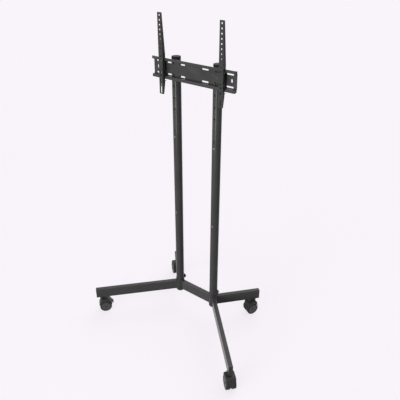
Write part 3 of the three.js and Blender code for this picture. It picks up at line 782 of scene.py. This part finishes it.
def makeCasterHousing(name, corner, s):
    bend, steps, top = s["shoulder"], s["shoulderSteps"], s["bossTop"]
    angles = [math.pi / 2 * (1 - i / steps) for i in range(steps + 1)]
    rows = sorted((sign * (s["wheelEnd"] - bend + bend * math.sin(a)), bend * (1 - math.cos(a)))
                  for a in angles for sign in (-1, 1))
    hood = makePiece(f"casterHousing_{name}", lofted(
        [[(x, y, z) for x, z in hoodOutline(s, inset)] for y, inset in rows]))
    wide, deep = s["skirtTool"]
    square = [(-wide, -wide), (wide, -wide), (wide, wide), (-wide, wide)]
    cutAway(hood, moved(extruded(square, s["skirt"] - deep, s["skirt"]), along(s["trail"])))
    root = s["top"] - s["bossRoot"]
    boss = [(0, root), (s["boss"] + s["bossFlare"], root), (s["boss"], top, s["bossEdge"]), (0, top)]
    weldOn(hood, spun(filleted(boss, steps=4)))

    trail, height, web, end = s["trail"], s["axleHeight"], s["web"] / 2, s["wheelEnd"] + s["sideOver"]
    cutAway(hood, *[rodY(s["wellRadius"], low, high, s["wellSteps"], trail, height)
                    for low, high in ((web, end), (-end, -web))])
    half, flare = s["webNeck"] / 2, s["webNeck"] / 2 + s["neckFlare"]
    low, high = s["neckSpan"]
    neck = [(-half, low), (half, low), (flare, high), (-flare, high)]
    weldOn(hood, moved(extruded(neck, s["skin"] - web, web - s["skin"]), uprightY, along(trail, 0, height)),
           rodY(s["hub"], -web, web, medium, trail, height))
    cutAway(hood, rodY(s["axle"] + s["holeRoom"], -end, end, s["holeSteps"], trail, height))
    holes = [extruded(circle(s["stem"] + s["holeRoom"], s["holeSteps"]), top - s["stemHole"], top + over)]
    if corner["brake"]:
        (x, z), length, room = s["pivot"], s["notchLength"], s["notchRoom"]
        notch = rectangle(length, 2 * s["notchHalf"], s["notchCorner"])
        notch = extruded(notch, s["skirt"] - s["notchDrop"], z + room)
        holes.append(moved(notch, along(x - room + length / 2)))
        holes.append(rodY(s["pinRadius"], -s["pinHole"], s["pinHole"], s["pinSteps"], x, z))
    cutAway(hood, *holes)
    softenEdges(hood, s["edge"], sharp=40)
    return hood


def makeCasterStem(name, s):
    stem, collar, top, nut, tall = (s[key] for key in ("stem", "collar", "bossTop", "nutFoot", "nutHeight"))
    foot, neck, end = top - s["stemHole"] + s["stemRoom"], stem - s["neck"], nut + s["threadEnd"]
    profile = [(0, foot), (stem, foot), (stem, top + s["collarFoot"][0][1])]
    profile += [(collar + x, top + z, *edge) for x, z, *edge in s["collarFoot"]]
    profile += [(collar - s["collarInset"], s["collarTop"], s["collarEdge"]), (neck, s["collarTop"]),
                (neck, end), (0, end)]
    piece = makePiece(f"casterStem_{name}", spun(filleted(profile, steps=3), medium))
    share, chamfer = s["nutShare"], s["nutChamfer"]
    flats = [[(x * scale, y * scale, z) for x, y in circle(s["nut"], steps=6)] for scale, z in
             ((share, nut), (1, nut + chamfer), (1, nut + tall - chamfer), (share, nut + tall))]
    weldOn(piece, lofted(flats),
           threaded(stem, nut + s["threadStart"], nut + tall + s["threadEnd"], s["pitch"], s["point"]))
    return piece


def makeAxle(name, s):
    start, h = s["wheelEnd"] + s["axleGap"], s["axleHeadHeight"]
    head = [(s["axleHead"] * x, start + h * z, corner) for x, z, corner in s["axleDome"]]
    profile = [(0, -start - h)] + [(r, -z, corner) for r, z, corner in reversed(head)]
    profile += [(s["axle"], -start), (s["axle"], start)] + head + [(0, start + h)]
    axle = spun(filleted(profile, steps=3), s["axleSteps"])
    return makePiece(f"casterAxle_{name}", moved(axle, toY, along(s["trail"], 0, s["axleHeight"])))


wheelSettings = {
    "radius": 38, "width": 24.4,
    # out from the radius, then from the inner face, the middle and back from the outer face, corner radius
    "treadInner": ((-6, 0.4), (-1.2, 0, 1.2), (-0.15, 3.2, 2)),
    "groove": ((0, -2.4), (0, -1.4, 0.3), (-0.7, -0.8, 0.3), (-0.7, 0.8, 0.3), (0, 1.4, 0.3), (0, 2.4)),
    "treadOuter": ((-0.15, 3.2, 2), (-1.2, 0, 1.2), (-5.4, 0.2, 0.6), (-6, 1.2)),
    # radius, then from the inner face and back from the outer face, corner radius
    "discInner": ((4.4, 0.2), (14, 0.2, 0.5), (14.6, 2.2, 1), (28, 2.2, 1), (29, 0.5, 0.5), (32.2, 0.5)),
    "discOuter": ((32.2, 1.4), (31.5, 2.2, 0.5), (27.4, 2.6, 0.6), (26.7, 0.6, 0.5), (24.8, 0.1, 1),
                  (14.5, 1.6, 8), (10.1, 1.7, 0.6), (9.3, 0.5, 0.4), (4.4, 0.3)),
    "marks": 6, "markRadius": 1.5, "markPlace": 19.5,
    "markDepth": 2.2, "markEdge": 0.2, "markOver": 1, "markSteps": 20,
}


def makeWheel(name, number, s, c):
    w, r = s["width"], s["radius"]
    tread = [(r + x, z, *corner) for x, z, *corner in s["treadInner"]]
    tread += [(r + x, w / 2 + z, *corner) for x, z, *corner in s["groove"]]
    tread += [(r + x, w - z, *corner) for x, z, *corner in s["treadOuter"]]
    tyre = makePiece(f"wheelTyre_{name}_{number}", spun(filleted(tread, steps=4), fine))
    face = [*s["discInner"], *[(x, w - z, *corner) for x, z, *corner in s["discOuter"]]]
    disc = makePiece(f"wheelDisc_{name}_{number}", spun(filleted(face, steps=4), fine))
    mark = drum(s["markRadius"], w - s["markDepth"], w + s["markOver"], s["markEdge"], steps=2)
    cutAway(disc, *[moved(spun(mark, s["markSteps"]), along(s["markPlace"]), turn(360 * k / s["marks"], "Z"))
                    for k in range(s["marks"])])
    side = -1 if number == 1 else 1
    for piece in (tyre, disc):
        place(piece, turn(-90 * side, "X"), along(c["trail"], side * c["wheelStart"], c["axleHeight"]))
    return tyre, disc


pedalSettings = {
    "width": 30, "length": 34, "thickness": 3, "slope": 50, "knuckle": 4.5, "knuckleSteps": 32, "edge": 0.5,
    # out from the end, share of half the thickness, above that, corner radius
    "tip": ((-4, -1, 0, 3), (0, 0.4, 0, 1.2), (-1, 1, 0.5, 0.8)),
    "ribs": 5, "ribPitch": 4.6, "ribStart": 11, "ribHeight": 0.9,
    # along, share of the rib's height, corner radius
    "rib": ((0, 0), (0.6, 1, 0.5), (1.9, 1, 0.5), (2.5, 0)),
    "shoeAngle": 42, "shoeThickness": 5, "shoeGap": 2.6, "shoeEdge": 1, "shoeInset": 1,
    "pin": 2, "pinLength": 38, "pinEdge": 0.5,
}


def makePedal(name, s, c):
    half, t, length = s["width"] / 2, s["thickness"] / 2, s["length"]
    ribs = []
    for i in range(s["ribs"]):
        x = s["ribStart"] + i * s["ribPitch"]
        ribs += [(x + u, t + s["ribHeight"] * v, *corner) for u, v, *corner in s["rib"]]
    tip = [(length + x, t * share + rise, corner) for x, share, rise, corner in s["tip"]]
    tread = extruded(filleted([(0, -t), *tip, *ribs[::-1], (0, t)], steps=3), -half, half)
    pedal = makePiece(f"brakePedal_{name}", moved(tread, uprightY, turn(s["slope"], "Y")))
    weldOn(pedal, moved(extruded(circle(s["knuckle"], s["knuckleSteps"]), -half, half), uprightY))
    place(pedal, along(c["pivot"][0], 0, c["pivot"][1]))

    # the shoe leaves the tread a third of the way along and ends short of the wheels
    angle, out = math.radians(s["slope"]), length / 3
    root, thick, wide = c["wheelRadius"] + s["shoeGap"], s["shoeThickness"] / 2, half - s["shoeInset"]
    reach = math.hypot(c["pivot"][0] - c["trail"] + out * math.cos(angle),
                       c["pivot"][1] - c["axleHeight"] - out * math.sin(angle))
    edge = s["shoeEdge"]
    shoe = filleted([(root, -thick, edge), (reach, -thick), (reach, thick), (root, thick, edge)], steps=3)
    weldOn(pedal, moved(extruded(shoe, -wide, wide), uprightY, turn(-s["shoeAngle"], "Y"),
                        along(c["trail"], 0, c["axleHeight"])))
    softenEdges(pedal, s["edge"], sharp=50)
    end = s["pinLength"] / 2
    pin = spun(drum(s["pin"], -end, end, s["pinEdge"], s["pinEdge"]), coarse)
    return pedal, makePiece(f"pedalPin_{name}", moved(pin, toY, along(c["pivot"][0], 0, c["pivot"][1])))


def makeCasters(s):
    for name, corner in corners.items():
        x, y = stemPlace(corner)
        stand = (turn(corner["trail"], "Z"), along(x, y))
        stem = makeCasterStem(name, s)
        housing = makeCasterHousing(name, corner, s)
        axle = makeAxle(name, s)
        for piece, finish, node in ((stem, "fastener", "caster_stem"), (housing, "plastic", "caster_body"),
                                    (axle, "fastener", "caster_axle")):
            place(piece, *stand)
            dress(piece, finish, f"{node}_{name}")
        for number in (1, 2):
            tyre, disc = makeWheel(name, number, wheelSettings, s)
            place(tyre, *stand)
            place(disc, *stand)
            dress(tyre, "tyre", f"caster_wheel_{name}_{number}")
            dress(disc, "disc", body=f"wheel_{name}_{number}")
        if corner["brake"]:
            pedal, pin = makePedal(name, pedalSettings, s)
            place(pedal, *stand)
            place(pin, *stand)
            dress(pedal, "plastic", f"brake_pedal_{name}")
            dress(pin, "fastener", body=f"pedal_{name}")
        print("caster made:", name)


makeCasters(casterSettings)


# Screen plate, bent from one sheet, with its bolts

plateSettings = {
    "middle": 1600, "length": 520, "face": 84, "thickness": 2.2, "back": -25.3, "railFront": -44, "lip": 14,
    "bend": 2.8, "edge": 0.35, "slotLength": 40, "slotRadius": 4.3, "slotRow": 32,
    "slots": (73.5, 147.7, 221.5), "endSlot": (231, 9, 18), "cutSpan": (-10, 5),
    "stopHeight": 12, "stopInset": (0.4, 0.2), "stopFoot": 0.6, "stopCorner": 2.5, "stopSide": 0.05,
}


def makePlate(s):
    t, half = s["thickness"], s["length"] / 2
    near, front = s["back"] - t / 2, s["railFront"] + t / 2
    shelf, lip = s["face"] / 2 - t / 2, s["face"] / 2 + s["lip"]
    path = [(front, lip), (front, shelf), (near, shelf), (near, -shelf), (front, -shelf), (front, -lip)]
    plate = makePiece("screenPlate", moved(extruded(bentSheet(path, t, s["bend"]), -half, half), uprightX))
    first, last = s["railFront"] + s["stopInset"][0], near - t / 2 - s["stopInset"][1]
    foot, top, corner = shelf + s["stopFoot"], s["face"] / 2 + s["stopHeight"], s["stopCorner"]
    for sign in (-1, 1):
        span = sorted((sign * (half - t), sign * (half - s["stopSide"])))
        for level in (-1, 1):
            tab = filleted([(first, level * foot), (first, level * top, corner), (last, level * top, corner),
                            (last, level * foot)])
            weldOn(plate, moved(extruded(tab, *span), uprightX))
    low, high = (s["back"] + z for z in s["cutSpan"])
    long, (x, width, height) = slotShape(s["slotLength"], 2 * s["slotRadius"]), s["endSlot"]
    cuts = []
    for sign in (-1, 1):
        cuts.append((slotShape(width, height), sign * x, 0))
        cuts += [(long, sign * at, level * s["slotRow"]) for at in s["slots"] for level in (-1, 1)]
    cutAway(plate, *[moved(extruded(shape, low, high), uprightY, along(at, 0, z)) for shape, at, z in cuts])
    softenEdges(plate, s["edge"], sharp=40)
    place(plate, along(z=s["middle"]))
    dress(plate, "coat", "screen_plate")


makePlate(plateSettings)

boltSettings = {
    "radius": 4, "pitch": 1.25, "point": 0.8, "front": -27.6, "overlap": 1, "extra": 2.7, "edge": 0.25,
    "washer": 7.4, "washerHeight": 1.6, "washerEdges": (0.3, 0.4),
    "head": 7.5, "headHeight": 5.3, "sunk": 0.1, "headTurn": (10, 25),
    "mark": (4.6, 5.2), "markDepth": 0.5, "markEdge": 0.2, "markOver": 1, "markSteps": 40,
    "nutFront": 25.1, "nutHeight": 6.5, "nutTurn": 17,
    "chamferShare": 0.88, "chamferFoot": 0.8, "chamferTop": 0.9,
}


def hexagon(s, low, high, chamferLow=False):
    share = s["chamferShare"]
    steps = [(share, low), (1, low + s["chamferFoot"])] if chamferLow else [(1, low)]
    steps += [(1, high - s["chamferTop"]), (share, high)]
    return lofted([[(x * k, y * k, z) for x, y in circle(s["head"], steps=6)] for k, z in steps])


def makeBolts(s):
    foot, nutBack = s["washerHeight"], s["nutFront"] + s["nutHeight"]
    top = foot + s["headHeight"]
    bed, end = top - s["markDepth"], top + s["markOver"]
    inner, outer = s["mark"]
    mark = filleted([(0, bed), (inner, bed, s["markEdge"]), (outer, end), (0, end)], steps=2)
    start, change = s["headTurn"]
    for side, sign in sides.items():
        for level, row in (("upper", 1), ("lower", -1)):
            head = moved(hexagon(s, foot - s["sunk"], top), turn(start + change * sign * row, "Z"))
            bolt = makePiece(f"plateBolt_{level}_{side}", head)
            cutAway(bolt, spun(mark, s["markSteps"]))
            weldOn(bolt, spun(drum(s["washer"], 0, foot, *s["washerEdges"]), medium))
            softenEdges(bolt, s["edge"], sharp=25)
            place(bolt, turn(90, "X"), along(0, s["front"], 0))
            nut = hexagon(s, s["nutFront"], nutBack, chamferLow=True)
            tail = makePiece("tail", moved(nut, turn(s["nutTurn"] * row, "Z")))
            ends = s["front"] - s["overlap"], nutBack + s["extra"]
            weldOn(tail, threaded(s["radius"], *ends, s["pitch"], s["point"]))
            place(tail, toY)
            bm = bmesh.new()
            for mesh in (bolt.data, tail.data):
                bm.from_mesh(mesh)
            bm.to_mesh(bolt.data)
            bm.free()
            bpy.data.objects.remove(tail)
            height = plateSettings["middle"] + row * plateSettings["slotRow"]
            place(bolt, along(sign * postX, 0, height))
            dress(bolt, "fastener", f"plate_bolt_{level}_{side}", sharp=25)


makeBolts(boltSettings)
print("screen plate made")


# Screen arms, folded channels that hook over the upper rail

armSettings = {
    "x": 188, "bottom": 1463, "length": 424, "width": 27, "thickness": 2, "front": -61,
    "fold": 3, "edge": 0.3,
    "railBack": -44.3, "railThickness": 2.5, "railRoom": 0.3, "topDepth": 4, "bottomDepth": 6,
    "lip": 56, "hookDrop": 10, "hookDepth": 3, "hookHeight": 20, "foot": 24,
    "flank": (2, 8, 0.6, 0.6, 1, 1.3, 8, 2),        # corner radii, from the foot up the back and the hook
    "hole": 4.2, "holeSteps": 32, "holePitch": 23.7, "holeInset": 14, "holes": 8,
    "railHoles": (66, 44.5, -18, -35),
    "slotRadius": 3.6, "lowSlot": 39, "highSlot": 32, "slotInset": 5, "slotSpace": 6, "cutDepth": 3,
    "tabDrop": 12, "tabThickness": 2.5, "tabThinner": 0.4, "tabLeg": 14, "tabBend": 3, "tabEnd": -31,
    "gap": 0.05, "screwY": -36, "screwHole": 3.3, "screwSpan": (-8, 5),
}


def makeArm(side, sign, s):
    low = s["bottom"] - plateSettings["middle"]
    high = low + s["length"]
    t, front, fold, lip, back = (s[key] for key in ("thickness", "front", "fold", "lip", "railBack"))
    edge, room = s["width"] / 2, s["railRoom"]
    inside = back + s["railThickness"] + room
    hook, hookFoot = inside + s["hookDepth"], lip - s["hookDrop"]
    flank = [(front + s["bottomDepth"], low), (back, -lip - s["foot"]), (back, lip + room),
             (inside, lip + room), (inside, hookFoot), (hook, hookFoot), (hook, lip + s["hookHeight"]),
             (front + s["topDepth"], high)]
    flank = [(*point, corner) for point, corner in zip(flank, s["flank"])]
    flank = filleted([(front, low), *flank, (front, high)], steps=4)
    arm = makePiece(f"screenArm_{side}", moved(extruded(flank, -edge, edge), uprightX))
    corner = filleted([(-edge - over, front - over), (-edge - over, front + fold), (-edge, front + fold),
                       (-edge, front, fold), (-edge + fold, front), (-edge + fold, front - over)], steps=8)
    bottom, top = low - over, high + over
    cutAway(arm, extruded(corner, bottom, top), extruded([(-x, y) for x, y in corner], bottom, top))
    inner = edge - t
    hollow = [(-inner, 0), (-inner, front + t, fold - t), (inner, front + t, fold - t), (inner, 0)]
    cutAway(arm, extruded(filleted(hollow), bottom, top))

    through = (front - over, front + t + s["cutDepth"])
    holes = [*s["railHoles"], *[high - s["holeInset"] - i * s["holePitch"] for i in range(s["holes"])]]
    tools = [rodY(s["hole"], *through, s["holeSteps"], z=h) for h in holes]
    foot = low + s["slotInset"]
    for length in (s["lowSlot"], s["highSlot"]):
        slot = slotShape(2 * s["slotRadius"], length)
        tools.append(moved(extruded(slot, *through), uprightY, along(z=foot + length / 2)))
        foot += length + s["slotSpace"]
    cutAway(arm, *tools)

    # the tab under the lower rail, which the lock screw passes through
    tab, gap = -lip - s["tabDrop"], s["gap"]
    root, middle = front + t / 2 + gap, tab - s["tabThickness"] / 2
    shelf = bentSheet([(root, tab - s["tabLeg"]), (root, middle), (s["tabEnd"], middle)],
                      s["tabThickness"] - s["tabThinner"], s["tabBend"])
    weldOn(arm, moved(extruded(shelf, gap - inner, inner - gap), uprightX))
    hole = extruded(circle(s["screwHole"], coarse), *(tab + z for z in s["screwSpan"]))
    cutAway(arm, moved(hole, along(0, s["screwY"])))
    softenEdges(arm, s["edge"], sharp=40)
    place(arm, along(sign * s["x"], 0, plateSettings["middle"]))
    dress(arm, "coat", f"arm_{side}")


lockScrewSettings = {
    "radius": 3, "top": -46, "pitch": 1.0, "point": 1, "overlap": 0.5,
    "headTop": -70.8, "head": 5.5, "headHeight": 4, "taper": (0.9, 1), "edge": 0.4, "rim": 0.3,
    "slot": (14, 1.3, 0.2), "slotDepth": 1.4, "slotOver": 2, "slotTurn": 30,
    "grooves": 24, "groove": (0.7, 1.2, 0.1), "grooveOver": 1,
}


def makeLockScrew(side, sign, s):
    top, r, edge = s["headTop"], s["head"], s["edge"]
    foot, (inward, upward), past = top - s["headHeight"], s["taper"], s["grooveOver"]
    head = [(0, foot), (r - inward, foot, edge), (r, foot + upward, edge), (r, top, s["rim"]), (0, top)]
    screw = makePiece(f"lockScrew_{side}", spun(filleted(head, steps=3), medium))
    slot = extruded(rectangle(*s["slot"], steps=1), foot - s["slotOver"], foot + s["slotDepth"])
    groove = extruded(rectangle(*s["groove"], steps=1), foot - past, top + past)
    cutAway(screw, moved(slot, turn(s["slotTurn"] * sign, "Z")))
    cutAway(screw, *[moved(groove, along(r), turn(360 * k / s["grooves"], "Z")) for k in range(s["grooves"])])
    weldOn(screw, threaded(s["radius"], top - s["overlap"], s["top"], s["pitch"], s["point"]))
    place(screw, along(sign * armSettings["x"], armSettings["screwY"], plateSettings["middle"]))
    dress(screw, "fastener", f"arm_lock_screw_{side}", sharp=30)


for side, sign in sides.items():
    makeArm(side, sign, armSettings)
    makeLockScrew(side, sign, lockScrewSettings)
print("screen arms made")


# Floor, background and lights

stageSettings = {
    "background": (0.948, 0.905, 0.960), "floorBounce": (0.18, 0.175, 0.185),
    "worldStrength": 0.12, "glow": 0.80,
    "floorRadius": 14, "fadeStart": 3.0, "fadeEnd": 9.0,        # metres
}
lampSettings = {
    "key": {"azimuth": 254, "elevation": 10, "strength": 1.9, "spread": 40},
    "top": {"azimuth": 290, "elevation": 86, "strength": 1.5, "spread": 110},
    "back": {"azimuth": 98, "elevation": 26, "strength": 1.9, "spread": 70},
}

# a low soft panel before the stand, which the upper posts mirror as a pale stripe, in metres and watts
panelSettings = {"place": (0.2, -2.6, 0.6), "aim": (0, 0, 1.3), "size": (0.3, 0.8), "power": 9, "spread": 90}


def shownRay(tree):
    # 1 for what the camera, a gloss or a clear piece sees, 0 for other light
    path = tree.nodes.new("ShaderNodeLightPath").outputs
    total = path["Is Camera Ray"]
    for ray in ("Is Glossy Ray", "Is Transmission Ray"):
        total = addNode(tree, "ShaderNodeMath", {0: total, 1: path[ray]}, operation="MAXIMUM")
    return total


def makeFloorPaint(s):
    # glows as the background does far out, and in part near the stand, for the shown rays only
    material = bpy.data.materials.new("pale studio floor")
    material.use_nodes = True
    tree = material.node_tree
    tree.nodes.clear()
    shown = shownRay(tree)
    spot = addNode(tree, "ShaderNodeTexCoord", result="Object")
    distance = addNode(tree, "ShaderNodeVectorMath", {0: spot}, "Value", operation="LENGTH")
    fade = addNode(tree, "ShaderNodeMapRange", {
        "Value": distance, "From Min": s["fadeStart"], "From Max": s["fadeEnd"], "To Min": s["glow"],
    }, interpolation_type="SMOOTHSTEP")
    share = addNode(tree, "ShaderNodeMath", {0: shown, 1: fade}, operation="MULTIPLY")
    colour = addNode(tree, "ShaderNodeMix", {
        "Factor": shown, mixFirst: s["floorBounce"], mixSecond: s["background"]}, mixResult, data_type="RGBA")
    paint = addNode(tree, "ShaderNodeBsdfDiffuse", {"Color": colour})
    glow = addNode(tree, "ShaderNodeEmission", {"Color": s["background"]})
    blend = addNode(tree, "ShaderNodeMixShader", {"Fac": share, 1: paint, 2: glow})
    feed(tree, tree.nodes.new("ShaderNodeOutputMaterial").inputs["Surface"], blend)
    return material


def makeFloor(s):
    bm = bmesh.new()
    bmesh.ops.create_circle(bm, cap_ends=True, segments=fine, radius=s["floorRadius"])
    mesh = bpy.data.meshes.new("floor")
    bm.to_mesh(mesh)
    bm.free()
    floor = bpy.data.objects.new("floor", mesh)
    scene.collection.objects.link(floor)
    mesh.materials.append(makeFloorPaint(s))


def makeWorld(s):
    world = bpy.data.worlds.new("studio")
    world.use_nodes = True
    scene.world = world
    tree = world.node_tree
    backdrop = tree.nodes["Background"].inputs
    feed(tree, backdrop["Color"], s["background"])
    feed(tree, backdrop["Strength"], addNode(tree, "ShaderNodeMapRange", {
        "Value": shownRay(tree), "To Min": s["worldStrength"], "To Max": 1}))


def makeLamp(name, s):
    data = bpy.data.lights.new(name, "SUN")
    data.energy = s["strength"]
    data.angle = math.radians(s["spread"])
    lamp = bpy.data.objects.new(name, data)
    lamp.rotation_euler = (math.radians(90 - s["elevation"]), 0, math.radians(s["azimuth"] + 90))
    scene.collection.objects.link(lamp)


def makePanel(s):
    data = bpy.data.lights.new("panel", "AREA")
    data.shape = "RECTANGLE"
    data.size, data.size_y = s["size"]
    data.energy = s["power"]
    data.spread = math.radians(s["spread"])
    lamp = bpy.data.objects.new("panel", data)
    lamp.location = s["place"]
    lamp.rotation_euler = (Vector(s["aim"]) - Vector(s["place"])).to_track_quat("-Z", "Y").to_euler()
    lamp.visible_camera = False
    scene.collection.objects.link(lamp)


makeFloor(stageSettings)
makeWorld(stageSettings)
for name, settings in lampSettings.items():
    makeLamp(name, settings)
makePanel(panelSettings)
print("stage made")
